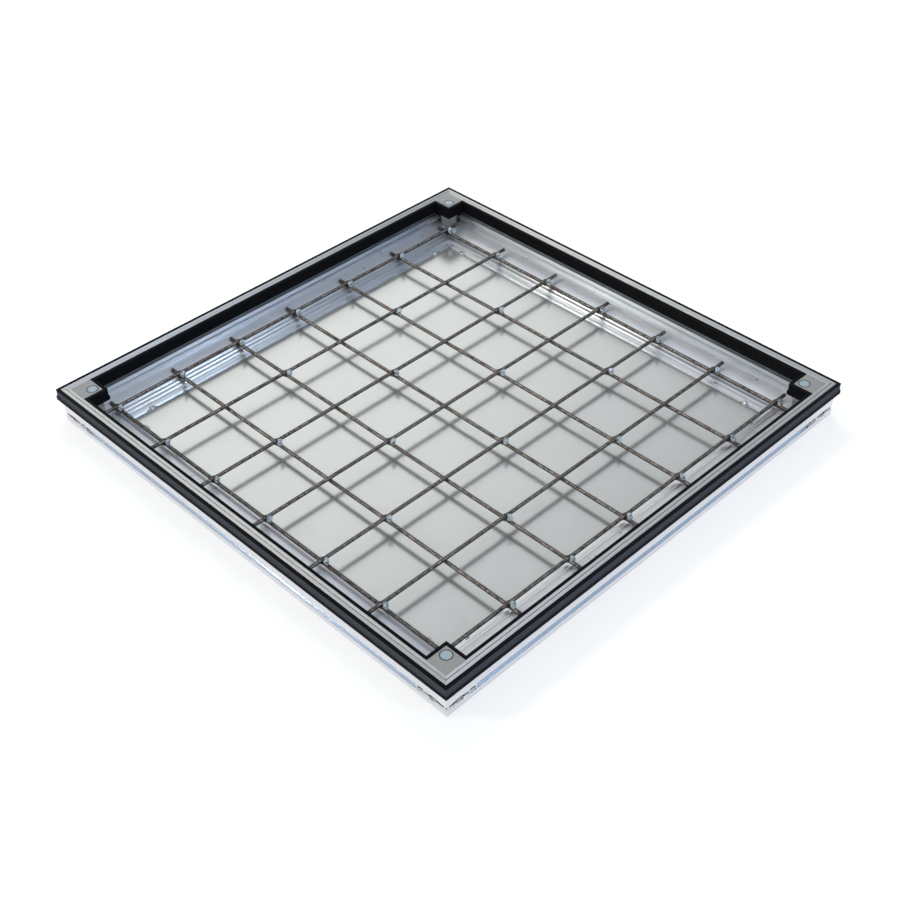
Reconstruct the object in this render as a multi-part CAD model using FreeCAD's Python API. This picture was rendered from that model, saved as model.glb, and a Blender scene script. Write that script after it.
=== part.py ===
import FreeCAD, Part
import math
import os

# Recessed paving cover, in millimetres. A shallow aluminium tray with a base sheet and a tied bar
# mesh is filled with bedding and paving. It hangs on a rubber seal inside a mitred aluminium frame.
# The origin is the centre of the underside, +Z points up to the paving, and the sides run along X and Y.

# Frame extrusion: an upright lip over a thicker foot, with a groove for the corner cleats
FRAME_SIDE = 700.0
FRAME_LIP = 4.4
SEAT_WIDTH = 3.4
FRAME_FOOT_HEIGHT = 7.4
FRAME_GROOVE_HEIGHT = 7.7
FRAME_GROOVE_DEPTH = 4.0
FRAME_CHAMBER_WALL = 1.8

# Gaps between the tray and the frame
LIP_GAP = 0.9
WALL_CLEARANCE = 0.8
BASE_CLEARANCE = 0.4

# Tray extrusion, from the base sheet up to the top of the lip
SHEET_THICK = 1.2
FOOT_HEIGHT = 10.75
WALL_BELOW_GROOVE = 5.65
GROOVE_HEIGHT = 3.0
WALL_ABOVE_GROOVE = 2.7
BEVEL_HEIGHT = 2.5
UPSTAND_HEIGHT = 23.8
STEP_BELOW_SHOULDER = 4.2

# Tray extrusion, from the lip inwards to the flange
UPSTAND_THICK = 4.0
WALL_THICK = 4.5
BEVEL_WIDTH = 1.5
GROOVE_DEPTH = 2.5
LEDGE_WIDTH = 28.8
NOSE_RUN = 11.3
NOSE_DROP = 3.95
NOSE_EDGE_WIDTH = 2.6
NOSE_EDGE_HEIGHT = 2.0
NOSE_BACK_RUN = 0.6
FLANGE_WIDTH = 4.8
FLANGE_THICK = 1.9
FOOT_WALL = 2.2
FOOT_RIB = 2.0

# Two shallow flutes along the sloping nose
FLUTE_WIDTH = 3.4
FLUTE_DEPTH = 0.7
FLUTE_START = 1.6
FLUTE_SPACING = 5.2

# Pocket milled in the tray's wall at each end, which leaves the corner post free
WALL_END_SETBACK = 19.4

# Rubber seal under the tray's step
SEAL_THICK = 2.0
SEAL_WIDTH = 2.8
SEAL_SETBACK = 0.2
SEAL_CHAMFER = 0.4

# Black edge trims, clipped to the frame outside and to the tray inside
TRIM_HEIGHT = 17.0
TRIM_THICK = 4.2
TRIM_LIP_HEIGHT = 1.0
TRIM_LIP_PROUD = 0.4
TRIM_WAIST_HEIGHT = 8.4
TRIM_RIDGE_PROUD = 1.0
TRIM_RIDGE_ROUND = 1.2
TONGUE_HEIGHT = 1.6
TONGUE_DEPTH = 1.4
TONGUE_DROP = 8.0
TONGUE_PLAY = 0.1

# Corner cleats pressed into the frame's outer groove
FRAME_CLEAT_LEG = 45.6
FRAME_CLEAT_INSET = 0.3
CLEAT_PLAY = 0.1
CLEAT_SLOT_HEIGHT = 2.4
CLEAT_SLOT_DEPTH = 1.4
CLEAT_SLOT_LENGTH = 33.0
CLEAT_SLOT_RISE = 0.5
CLEAT_POCKET_START = 17.0
CLEAT_POCKET_LENGTH = 8.0
CLEAT_POCKET_HEIGHT = 6.2
CLEAT_POCKET_DEPTH = 2.6
CLEAT_NOTCH = 2.4
CLEAT_CRIMP_DEPTH = 1.3
CLEAT_CRIMP_LENGTH = 11.0

# Corner cleats pressed into the tray wall's groove
TRAY_CLEAT_LEG = 48.0
TRAY_CLEAT_THICK = 2.2
TRAY_CLEAT_CRIMP = 7.0
TRAY_CLEAT_CRIMP_DEPTH = 0.9

# Lifting point in each corner: a folded cap, a square post with a socket, and its plug
CAP_SIDE = 29.1
CAP_THICK = 1.6
CAP_BEND = 0.8
CAP_GAP = 0.15
POST_WIDTH = 16.0
SOCKET_RADIUS = 5.0
SOCKET_DEPTH = 22.0
PLUG_RADIUS = 7.0
PLUG_HOLE_PLAY = 0.35
PLUG_STEM_PLAY = 0.2
PLUG_STEM_LENGTH = 8.0
PLUG_STEM_SIDE_COUNT = 6

# Bar mesh: the lower bars run along X on the ledge, and the upper bars run along Y on them.
# The rolled bars have flats round their section, and their setback gives the usual 100 mm pitch.
BAR_RADIUS = 2.5
BAR_SIDE_COUNT = 12
BAR_COUNT = 7
MESH_OFFSET = -3.0
BAR_END_GAP = 16.9
EDGE_BAR_SETBACK = 8.1

# Wire ties round the crossings, each with a twisted tail
TIE_WIRE = 0.9
TIE_BAND = 1.4
TIE_PLAY = 0.08
TIE_TAIL_RADIUS = 1.9
TIE_TAIL_LENGTH = 6.8
TIE_TAIL_SIDE_COUNT = 4

# How far a cutting block reaches past what it cuts
CUT_MARGIN = 1.0

# Heights that the sizes above lead to
tray_bottom = BASE_CLEARANCE + SHEET_THICK
flange_top = tray_bottom + FLANGE_THICK
ledge_top = tray_bottom + FOOT_HEIGHT
groove_bottom = ledge_top + WALL_BELOW_GROOVE
groove_top = groove_bottom + GROOVE_HEIGHT
bevel_bottom = groove_top + WALL_ABOVE_GROOVE
shoulder_top = bevel_bottom + BEVEL_HEIGHT
top = shoulder_top + UPSTAND_HEIGHT
step_bottom = shoulder_top - STEP_BELOW_SHOULDER
seat_top = step_bottom - SEAL_THICK
frame_groove_top = FRAME_FOOT_HEIGHT + FRAME_GROOVE_HEIGHT
bar_corner_radius = BAR_RADIUS / math.cos(math.pi / BAR_SIDE_COUNT)
lower_bar_z = ledge_top + BAR_RADIUS
upper_bar_z = lower_bar_z + 2 * BAR_RADIUS

# Distances from the centre of the cover
frame_out = FRAME_SIDE / 2
frame_lip_in = frame_out - FRAME_LIP
seat_in = frame_lip_in - SEAT_WIDTH
upstand_out = frame_lip_in - LIP_GAP
upstand_in = upstand_out - UPSTAND_THICK
wall_out = seat_in - WALL_CLEARANCE
wall_in = wall_out - WALL_THICK
ledge_in = wall_in - LEDGE_WIDTH
nose_in = ledge_in - NOSE_RUN
nose_edge_in = nose_in - NOSE_EDGE_WIDTH
flange_out = nose_edge_in - NOSE_BACK_RUN
flange_in = flange_out - FLANGE_WIDTH
wall_end = wall_in - WALL_END_SETBACK
cap_in = upstand_in - CAP_SIDE
post_in = cap_in + CAP_THICK
post_axis = post_in + POST_WIDTH / 2
reach = frame_out + TRIM_THICK + TRIM_RIDGE_PROUD + FRAME_LIP

SIDES = ("right", "back", "left", "front")
CORNERS = ("back_right", "back_left", "front_left", "front_right")


def at(distance, height, along=0.0):
    """A point of the right-hand side's section."""
    return FreeCAD.Vector(distance, along, height)


def closed_wire(outline, along):
    """A wire through the outline's points. A pair of points is an arc: its middle and its end."""
    edges = []
    start = at(*outline[0], along)
    for step in outline[1:] + outline[:1]:
        if isinstance(step[0], tuple):
            end = at(*step[1], along)
            edges.append(Part.Arc(start, at(*step[0], along), end).toShape())
        else:
            end = at(*step, along)
            edges.append(Part.LineSegment(start, end).toShape())
        start = end
    return Part.Wire(edges)


def extrusion(outline):
    """The outline as a bar along Y, longer than the cover."""
    face = Part.Face(closed_wire(outline, -reach))
    return face.extrude(FreeCAD.Vector(0, 2 * reach, 0))


def plan_prism(corners, low, high):
    """A block over a polygon drawn from above."""
    points = [FreeCAD.Vector(x, y, low) for x, y in corners]
    face = Part.Face(Part.makePolygon(points + points[:1]))
    return face.extrude(FreeCAD.Vector(0, 0, high - low))


def cut_to_plan(bar, corners):
    """What a polygon drawn from above keeps of a bar."""
    return bar.common(plan_prism(corners, -CUT_MARGIN, top + CUT_MARGIN))


def mitred(bar, setback=0.0):
    """A bar on the right-hand side, cut at 45 degrees at both ends."""
    wide = reach - setback
    return cut_to_plan(bar, [(setback, 0), (reach, -wide), (reach, wide)])


def box(low, high):
    size = [b - a for a, b in zip(low, high)]
    return Part.makeBox(*size, FreeCAD.Vector(*low))


def flat_sided_rod(flats, radius, start, along):
    """A straight rod with equal flats at the radius, one of which faces up, or along X if it stands."""
    axis = FreeCAD.Vector(along).normalize()
    standing = abs(axis.z) > abs(axis.x) + abs(axis.y)
    first = FreeCAD.Vector(1, 0, 0) if standing else FreeCAD.Vector(0, 0, 1)
    second = axis.cross(first)
    corner_radius = radius / math.cos(math.pi / flats)
    corners = []
    for i in range(flats):
        angle = 2 * math.pi * (i + 0.5) / flats
        offset = first * math.cos(angle) + second * math.sin(angle)
        corners.append(start + offset * corner_radius)
    return Part.Face(Part.makePolygon(corners + corners[:1])).extrude(along)


def turned(shape, quarter):
    """A copy turned by quarter turns about the cover's axis."""
    copy = shape.copy()
    copy.rotate(FreeCAD.Vector(0, 0, 0), FreeCAD.Vector(0, 0, 1), 90 * quarter)
    return copy


def mirrored(shape):
    """A copy with X and Y exchanged, for the other leg of a corner piece."""
    return shape.mirror(FreeCAD.Vector(0, 0, 0), FreeCAD.Vector(1, -1, 0))


def save(name, shape):
    if not shape.isValid():
        raise ValueError(name + " is not a valid shape")
    shape.exportStep("parts/" + name + ".step")


# Frame

def frame_section():
    tongue_z = top - TONGUE_DROP
    slot_half = TONGUE_HEIGHT / 2 + TONGUE_PLAY
    slot_back = frame_out - TONGUE_DEPTH - TONGUE_PLAY
    groove_back = frame_out - FRAME_GROOVE_DEPTH
    return [
        (seat_in, 0), (frame_out, 0),
        (frame_out, FRAME_FOOT_HEIGHT), (groove_back, FRAME_FOOT_HEIGHT),
        (groove_back, frame_groove_top), (frame_out, frame_groove_top),
        (frame_out, tongue_z - slot_half), (slot_back, tongue_z - slot_half),
        (slot_back, tongue_z + slot_half), (frame_out, tongue_z + slot_half),
        (frame_out, top), (frame_lip_in, top),
        (frame_lip_in, seat_top), (seat_in, seat_top),
    ]


def frame_side():
    chamber_in = seat_in + FRAME_CHAMBER_WALL
    chamber_out = frame_out - FRAME_CHAMBER_WALL
    chamber_low = FRAME_CHAMBER_WALL
    chamber_high = FRAME_FOOT_HEIGHT - FRAME_CHAMBER_WALL
    chamber = [
        (chamber_in, chamber_low), (chamber_out, chamber_low),
        (chamber_out, chamber_high), (chamber_in, chamber_high),
    ]
    return mitred(extrusion(frame_section()).cut(extrusion(chamber)))


def dent(face, middle, length, depth):
    """What a crimping tool presses into a face on the right-hand side, drawn from above."""
    return [
        (face, middle - length / 2), (face + depth, middle - length / 6),
        (face + depth, middle + length / 6), (face, middle + length / 2),
    ]


def frame_corner_cleat():
    """An angle in the frame's groove, slotted, punched and crimped on its outer faces."""
    out = frame_out - FRAME_CLEAT_INSET
    back = frame_out - FRAME_GROOVE_DEPTH
    low = FRAME_FOOT_HEIGHT + CLEAT_PLAY
    high = frame_groove_top - CLEAT_PLAY
    middle = (low + high) / 2 + CLEAT_SLOT_RISE
    leg = box((back, out - FRAME_CLEAT_LEG, low), (out, out, high))

    slot_low = middle - CLEAT_SLOT_HEIGHT / 2
    slot = box((out - CLEAT_SLOT_DEPTH, out - CLEAT_SLOT_LENGTH, slot_low),
               (reach, reach, slot_low + CLEAT_SLOT_HEIGHT))
    pocket_high = min(middle + CLEAT_POCKET_HEIGHT / 2, high - CLEAT_PLAY)
    pocket_far = out - CLEAT_POCKET_START - CLEAT_POCKET_LENGTH
    pocket = box((out - CLEAT_POCKET_DEPTH, pocket_far, middle - CLEAT_POCKET_HEIGHT / 2),
                 (reach, pocket_far + CLEAT_POCKET_LENGTH, pocket_high))
    crimp_y = out - (CLEAT_SLOT_LENGTH + FRAME_CLEAT_LEG) / 2
    crimp = plan_prism(dent(out, crimp_y, CLEAT_CRIMP_LENGTH, -CLEAT_CRIMP_DEPTH), 0, top)

    cut_leg = leg.cut(slot).cut(pocket).cut(crimp)
    cleat = cut_leg.fuse(mirrored(cut_leg)).removeSplitter()
    notch = plan_prism([(out, out - CLEAT_NOTCH), (reach, out - CLEAT_NOTCH),
                        (reach, reach), (out - CLEAT_NOTCH, reach), (out - CLEAT_NOTCH, out)],
                       slot_low - CLEAT_PLAY, middle)
    return cleat.cut(notch)


def frame_seal():
    """One rubber loop that lies on the frame's seat, under the tray's step."""
    inner = seat_in + SEAL_SETBACK
    outer = inner + SEAL_WIDTH
    high = seat_top + SEAL_THICK
    outline = [
        (inner, seat_top), (outer, seat_top),
        (outer, high - SEAL_CHAMFER), (outer - SEAL_CHAMFER, high),
        (inner + SEAL_CHAMFER, high), (inner, high - SEAL_CHAMFER),
    ]
    side = mitred(extrusion(outline))
    loop = side
    for quarter in (1, 2, 3):
        loop = loop.fuse(turned(side, quarter))
    return loop.removeSplitter()


# Edge trims

def trim_profile(face, outwards, with_tongue):
    """The trim on a face: a thin lip, a flat waist and a rounded ridge below it."""
    lip = TRIM_THICK + TRIM_LIP_PROUD
    ridge = TRIM_THICK + TRIM_RIDGE_PROUD
    bottom = top - TRIM_HEIGHT
    lip_low = top - TRIM_LIP_HEIGHT
    waist_low = lip_low - TRIM_WAIST_HEIGHT
    turn = TRIM_RIDGE_ROUND * (1 - math.sqrt(0.5))

    def out(distance):
        return face + outwards * distance

    outline = [
        (out(0), top), (out(lip - TRIM_LIP_PROUD), top), (out(lip), top - TRIM_LIP_PROUD),
        (out(lip), lip_low), (out(TRIM_THICK), lip_low - TRIM_LIP_PROUD),
        (out(TRIM_THICK), waist_low), (out(ridge), waist_low - TRIM_RIDGE_PROUD),
        (out(ridge), bottom + TRIM_RIDGE_ROUND),
        ((out(ridge - turn), bottom + turn), (out(ridge - TRIM_RIDGE_ROUND), bottom)),
        (out(0), bottom),
    ]
    if with_tongue:
        tongue_low = top - TONGUE_DROP - TONGUE_HEIGHT / 2
        outline += [
            (out(0), tongue_low), (out(-TONGUE_DEPTH), tongue_low),
            (out(-TONGUE_DEPTH), tongue_low + TONGUE_HEIGHT), (out(0), tongue_low + TONGUE_HEIGHT),
        ]
    return outline


def outer_edge_trim():
    return mitred(extrusion(trim_profile(frame_out, 1, True)))


def inner_edge_trim():
    """The tray's trim: a run along the upstand, turned in at each end along the corner cap."""
    run = mitred(extrusion(trim_profile(upstand_in, -1, True)), CAP_SIDE)
    flank = turned(extrusion(trim_profile(cap_in, -1, False)), 1)
    near = cap_in - reach + frame_out
    strip = [(near, near), (reach, reach), (reach, reach - CAP_SIDE), (near, near - CAP_SIDE)]
    flank = cut_to_plan(flank, strip)
    across = flank.mirror(FreeCAD.Vector(0, 0, 0), FreeCAD.Vector(0, 1, 0))
    return run.fuse([flank, across]).removeSplitter()


# Tray

def flute(start):
    """One flute in the nose: the arc's first point, and its middle and end as a pair."""
    slope = NOSE_DROP / NOSE_RUN

    def on_nose(distance):
        return ledge_in - distance, ledge_top - slope * distance

    middle_x, middle_z = on_nose(start + FLUTE_WIDTH / 2)
    return [on_nose(start), ((middle_x, middle_z - FLUTE_DEPTH), on_nose(start + FLUTE_WIDTH))]


def tray_section():
    tongue_z = top - TONGUE_DROP
    slot_half = TONGUE_HEIGHT / 2 + TONGUE_PLAY
    slot_back = upstand_in + TONGUE_DEPTH + TONGUE_PLAY
    groove_back = wall_in + GROOVE_DEPTH
    nose_z = ledge_top - NOSE_DROP
    edge_z = nose_z - NOSE_EDGE_HEIGHT
    round_x = nose_in - NOSE_EDGE_WIDTH * math.sqrt(0.5)
    round_z = edge_z + NOSE_EDGE_HEIGHT * math.sqrt(0.5)
    return [
        (flange_in, tray_bottom), (wall_out, tray_bottom),
        (wall_out, step_bottom), (upstand_out, step_bottom),
        (upstand_out, top), (upstand_in, top),
        (upstand_in, tongue_z + slot_half), (slot_back, tongue_z + slot_half),
        (slot_back, tongue_z - slot_half), (upstand_in, tongue_z - slot_half),
        (upstand_in, shoulder_top), (wall_in + BEVEL_WIDTH, shoulder_top),
        (wall_in, bevel_bottom), (wall_in, groove_top),
        (groove_back, groove_top), (groove_back, groove_bottom),
        (wall_in, groove_bottom), (wall_in, ledge_top), (ledge_in, ledge_top),
        *flute(FLUTE_START), *flute(FLUTE_START + FLUTE_SPACING),
        (nose_in, nose_z), ((round_x, round_z), (nose_edge_in, edge_z)),
        (flange_out, flange_top), (flange_in, flange_top),
    ]


def tray_chambers():
    """The two hollows in the tray's foot, either side of a rib."""
    low = tray_bottom + FOOT_WALL
    high = ledge_top - FOOT_WALL
    nose_low = high - NOSE_DROP
    inner = nose_in + FOOT_WALL
    outer = wall_out - FOOT_WALL
    rib = (ledge_in + wall_in) / 2
    return [
        [(inner, low), (rib - FOOT_RIB / 2, low), (rib - FOOT_RIB / 2, high),
         (ledge_in + FOOT_WALL, high), (inner, nose_low)],
        [(rib + FOOT_RIB / 2, low), (outer, low), (outer, high), (rib + FOOT_RIB / 2, high)],
    ]


def tray_side():
    bar = extrusion(tray_section())
    for chamber in tray_chambers():
        bar = bar.cut(extrusion(chamber))
    side = mitred(bar)
    for low, high in ((wall_end, reach), (-reach, -wall_end)):
        side = side.cut(box((ledge_in, low, ledge_top), (upstand_in, high, shoulder_top)))
        side = side.cut(box((ledge_in, low, ledge_top), (reach, high, step_bottom)))
    return side


def tray_corner_cleat():
    """An angle in the tray wall's groove, dented where it is crimped."""
    out = wall_in + GROOVE_DEPTH
    inner = out - TRAY_CLEAT_THICK
    low = groove_bottom + CLEAT_PLAY
    leg = box((inner, out - TRAY_CLEAT_LEG, low), (out, out, groove_top - CLEAT_PLAY))
    crimp_y = out - TRAY_CLEAT_LEG + TRAY_CLEAT_CRIMP
    leg = leg.cut(plan_prism(dent(inner, crimp_y, TRAY_CLEAT_CRIMP, TRAY_CLEAT_CRIMP_DEPTH), 0, top))
    return leg.fuse(mirrored(leg)).removeSplitter()


def base_sheet():
    return box((-wall_in, -wall_in, BASE_CLEARANCE), (wall_in, wall_in, tray_bottom))


# Lifting points

def corner_cap():
    """A folded square with a skirt down its two inner edges and a hole over the socket."""
    out = upstand_in - CAP_GAP
    block = box((cap_in, cap_in, top - TRIM_HEIGHT), (out, out, top))
    bends = [edge for edge in block.Edges if is_bend(edge)]
    block = block.makeFillet(CAP_BEND, bends)
    hollow = box((post_in, post_in, 0), (reach, reach, top - CAP_THICK))
    hole = Part.makeCylinder(PLUG_RADIUS + PLUG_HOLE_PLAY, top,
                             FreeCAD.Vector(post_axis, post_axis, top / 2))
    return block.cut(hollow).cut(hole)


def is_bend(edge):
    middle = edge.BoundBox.Center
    on_top = abs(middle.z - top) < CAP_GAP
    return on_top and min(abs(middle.x - cap_in), abs(middle.y - cap_in)) < CAP_GAP


def corner_post():
    height = top - CAP_THICK
    far = post_in + POST_WIDTH
    post = box((post_in, post_in, ledge_top), (far, far, height))
    socket = Part.makeCylinder(SOCKET_RADIUS, SOCKET_DEPTH,
                               FreeCAD.Vector(post_axis, post_axis, height - SOCKET_DEPTH))
    return post.cut(socket)


def socket_plug():
    """A round head flush with the cap, on a six-sided stem in the socket."""
    seat = FreeCAD.Vector(post_axis, post_axis, top - CAP_THICK)
    head = Part.makeCylinder(PLUG_RADIUS, CAP_THICK, seat)
    across_flats = (SOCKET_RADIUS - PLUG_STEM_PLAY) * math.cos(math.pi / PLUG_STEM_SIDE_COUNT)
    down = FreeCAD.Vector(0, 0, -PLUG_STEM_LENGTH)
    stem = flat_sided_rod(PLUG_STEM_SIDE_COUNT, across_flats, seat, down)
    return head.fuse(stem).removeSplitter()


# Mesh

def bar_places():
    """Where the bars cross the centre lines, evenly spaced and clear of the ledge's nose."""
    outermost = ledge_in - EDGE_BAR_SETBACK
    pitch = 2 * outermost / (BAR_COUNT - 1)
    return [i * pitch - outermost for i in range(BAR_COUNT)]


def bar_length():
    return 2 * (wall_in - BAR_END_GAP)


def lower_bar(y):
    start = FreeCAD.Vector(MESH_OFFSET - bar_length() / 2, y, lower_bar_z)
    return flat_sided_rod(BAR_SIDE_COUNT, BAR_RADIUS, start, FreeCAD.Vector(bar_length(), 0, 0))


def upper_bar(x):
    start = FreeCAD.Vector(x + MESH_OFFSET, -bar_length() / 2, upper_bar_z)
    return flat_sided_rod(BAR_SIDE_COUNT, BAR_RADIUS, start, FreeCAD.Vector(0, bar_length(), 0))


def ring_half_width(grow):
    """Half the ring across the diagonal, where each bar's section is an ellipse that the band shifts."""
    return bar_corner_radius * math.sqrt(2) + TIE_BAND / 2 + grow


def tie_ring(grow):
    """The ring's eight corners as distances along the diagonal and up from the bars' contact."""
    half_width = ring_half_width(grow)
    half_height = 2 * BAR_RADIUS + grow
    corner_sum = BAR_RADIUS + bar_corner_radius * math.sqrt(3) + TIE_BAND / 2 + grow * math.sqrt(2)
    quadrant = [(half_width, corner_sum - half_width), (corner_sum - half_height, half_height)]
    half = quadrant + [(-s, h) for s, h in reversed(quadrant)]
    return half + [(-s, -h) for s, h in half]


def tie():
    """A wire round a crossing at the origin, across the diagonal, with its twisted tail."""
    diagonal = FreeCAD.Vector(1, 1, 0).normalize()
    sideways = FreeCAD.Vector(1, -1, 0).normalize()
    up = FreeCAD.Vector(0, 0, 1)

    def ring_bar(grow, width):
        points = [diagonal * s + up * h - sideways * (width / 2) for s, h in tie_ring(grow)]
        face = Part.Face(Part.makePolygon(points + points[:1]))
        return face.extrude(sideways * width)

    ring = ring_bar(TIE_PLAY + TIE_WIRE, TIE_BAND).cut(ring_bar(TIE_PLAY, 2 * TIE_BAND))
    root = diagonal * ring_half_width(TIE_PLAY + TIE_WIRE) + sideways * (TIE_BAND / 2)
    start = root + up * (TIE_TAIL_RADIUS + TIE_PLAY)
    tail = flat_sided_rod(TIE_TAIL_SIDE_COUNT, TIE_TAIL_RADIUS, start, sideways * TIE_TAIL_LENGTH)
    return ring.fuse(tail).removeSplitter()


def mesh_ties(places):
    """A tie on every outer crossing, and on every second one inside."""
    one = tie()
    last = len(places) - 1
    ties = []
    for i, x in enumerate(places):
        for j, y in enumerate(places):
            outer = i in (0, last) or j in (0, last)
            if outer or (i + last - j) % 2 == 1:
                copy = one.copy()
                copy.translate(FreeCAD.Vector(x + MESH_OFFSET, y, lower_bar_z + BAR_RADIUS))
                ties.append(copy)
    return Part.makeCompound(ties)


# Every piece, each in a file of its own

os.makedirs("parts", exist_ok=True)

side_pieces = {
    "frame_side": frame_side(), "outer_edge_trim": outer_edge_trim(),
    "tray_side": tray_side(), "inner_edge_trim": inner_edge_trim(),
}
corner_pieces = {
    "frame_corner_cleat": frame_corner_cleat(), "tray_corner_cleat": tray_corner_cleat(),
    "corner_cap": corner_cap(), "corner_post": corner_post(), "socket_plug": socket_plug(),
}
for quarter in range(4):
    for name, shape in side_pieces.items():
        save(name + "_" + SIDES[quarter], turned(shape, quarter))
    for name, shape in corner_pieces.items():
        save(name + "_" + CORNERS[quarter], turned(shape, quarter))

save("frame_seal", frame_seal())
save("base_sheet", base_sheet())
for number, place in enumerate(bar_places(), 1):
    save("mesh_lower_bar_" + str(number), lower_bar(place))
    save("mesh_upper_bar_" + str(number), upper_bar(place))
save("mesh_ties", mesh_ties(bar_places()))
print("overall height", top, "tray opening", 2 * upstand_in)
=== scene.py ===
import math
import random

import bpy
from mathutils import Matrix, Vector


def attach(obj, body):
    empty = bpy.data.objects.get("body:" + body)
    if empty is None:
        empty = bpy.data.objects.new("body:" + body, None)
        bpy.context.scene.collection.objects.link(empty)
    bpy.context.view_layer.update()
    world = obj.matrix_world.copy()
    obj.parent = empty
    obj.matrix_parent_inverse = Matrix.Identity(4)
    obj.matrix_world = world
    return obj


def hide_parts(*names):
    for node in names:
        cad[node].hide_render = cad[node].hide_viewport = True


# Recessed paving cover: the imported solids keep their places, and this script dresses them.
# It rounds the edges of the sections, models the ribbed bars, the wire ties and the weld drops,
# and gives every surface its finish. Lengths are in millimetres until they reach Blender.

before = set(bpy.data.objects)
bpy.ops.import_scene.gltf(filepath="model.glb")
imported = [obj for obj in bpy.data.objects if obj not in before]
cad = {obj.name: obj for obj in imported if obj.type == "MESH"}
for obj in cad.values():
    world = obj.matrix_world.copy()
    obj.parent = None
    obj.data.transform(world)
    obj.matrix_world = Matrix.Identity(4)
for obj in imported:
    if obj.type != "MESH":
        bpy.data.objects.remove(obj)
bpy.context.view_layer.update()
MM = 0.001

SIDES = ("right", "back", "left", "front")
CORNERS = ("back_right", "back_left", "front_left", "front_right")


# Modelling by hand

def deselect_all():
    if bpy.context.object and bpy.context.object.mode != "OBJECT":
        end_edit()
    bpy.ops.object.select_all(action="DESELECT")


def pick(*pieces):
    """Select these pieces alone, with the first one active."""
    deselect_all()
    for piece in pieces:
        piece.select_set(True)
    bpy.context.view_layer.objects.active = pieces[0]


def settle(piece):
    """Move the piece's place, turn and scale into its mesh."""
    pick(piece)
    bpy.ops.object.transform_apply(location=True, rotation=True, scale=True)


def end_edit():
    bpy.ops.object.mode_set(mode="OBJECT")


def edit_whole(piece):
    """Open the piece in edit mode with all of it selected."""
    pick(piece)
    bpy.ops.object.mode_set(mode="EDIT")
    bpy.ops.mesh.select_all(action="SELECT")


def edit_chosen(piece, kind, choose):
    """Open the piece in edit mode with only what the choice selects."""
    pick(piece)
    bpy.ops.object.mode_set(mode="EDIT")
    bpy.ops.mesh.select_mode(type=kind)
    bpy.ops.mesh.select_all(action="DESELECT")
    end_edit()
    choose(piece.data)
    bpy.ops.object.mode_set(mode="EDIT")


def edit_points(piece, wanted):
    """Open the piece in edit mode with only the wanted points selected, by their place."""
    def choose(mesh):
        for point in mesh.vertices:
            point.select = wanted(point.co)
    edit_chosen(piece, "VERT", choose)


def edit_edges(piece, wanted):
    """Open the piece in edit mode with only the wanted edges selected, by their two ends."""
    def choose(mesh):
        for edge in mesh.edges:
            edge.select = wanted(*(mesh.vertices[end].co for end in edge.vertices))
    edit_chosen(piece, "EDGE", choose)


def edit_faces(piece, wanted):
    """Open the piece in edit mode with only the wanted faces selected, by middle and normal."""
    def choose(mesh):
        for face in mesh.polygons:
            face.select = wanted(face.center, face.normal)
    edit_chosen(piece, "FACE", choose)


def apply_modifier(piece, kind, **settings):
    pick(piece)
    bpy.ops.object.modifier_add(type=kind)
    modifier = piece.modifiers[-1]
    for name, value in settings.items():
        setattr(modifier, name, value)
    bpy.ops.object.modifier_apply(modifier=modifier.name)


def copy_of(piece, name):
    """A copy of a piece with a mesh of its own."""
    copy = bpy.data.objects.new(name, piece.data.copy())
    bpy.context.scene.collection.objects.link(copy)
    return copy


def join(name, pieces):
    pick(*pieces)
    bpy.ops.object.join()
    whole = bpy.context.object
    whole.name = name
    whole.data.name = name
    return whole


def delete(piece):
    pick(piece)
    bpy.ops.object.delete()


def smooth(piece, degrees):
    pick(piece)
    bpy.ops.object.shade_smooth_by_angle(angle=math.radians(degrees))


def give(piece, *materials):
    piece.data.materials.clear()
    for material in materials:
        piece.data.materials.append(material)


def make_rod(sides, radius, length, aside, parts, chamfer):
    """A rod from the YZ plane along X, cut into parts, with its ends drawn in."""
    deselect_all()
    bpy.ops.mesh.primitive_cylinder_add(
        vertices=sides, radius=radius * MM, depth=length * MM, rotation=(0, math.pi / 2, 0),
        location=(length / 2 * MM, aside * MM, 0))
    rod = bpy.context.object
    settle(rod)
    edit_edges(rod, lambda a, b: abs(a.x - b.x) > length / 2 * MM)
    bpy.ops.mesh.subdivide(number_cuts=parts - 1)
    edit_faces(rod, lambda centre, normal: abs(normal.x) > 0.9)
    bpy.ops.mesh.inset(thickness=chamfer[0] * MM, depth=chamfer[1] * MM)
    end_edit()
    return rod


# Wiring of shader nodes

def link(tree, source, target):
    tree.links.new(source, target)


def plug(tree, value, socket):
    """Set a socket to a plain number or vector, or link it to another node's output."""
    if isinstance(value, (int, float, tuple)):
        socket.default_value = value
    else:
        link(tree, value, socket)


def node(tree, kind, **inputs):
    made = tree.nodes.new("ShaderNode" + kind)
    for name, value in inputs.items():
        made.inputs[name.replace("_", " ")].default_value = value
    return made


def ramp(tree, source, low, high, to_low=0.0, to_high=1.0):
    """Spread the range from low to high over another range, and hold it at both ends."""
    made = node(tree, "MapRange", From_Min=low, From_Max=high, To_Min=to_low, To_Max=to_high)
    link(tree, source, made.inputs["Value"])
    return made.outputs[0]


def math_node(tree, operation, first, second=0.0):
    made = tree.nodes.new("ShaderNodeMath")
    made.operation = operation
    plug(tree, first, made.inputs[0])
    plug(tree, second, made.inputs[1])
    return made.outputs[0]


def times(tree, first, second):
    return math_node(tree, "MULTIPLY", first, second)


def vector_node(tree, operation, first, second):
    made = tree.nodes.new("ShaderNodeVectorMath")
    made.operation = operation
    plug(tree, first, made.inputs[0])
    plug(tree, second, made.inputs["Scale" if operation == "SCALE" else 1])
    return made.outputs["Value" if operation == "DOT_PRODUCT" else "Vector"]


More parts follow.
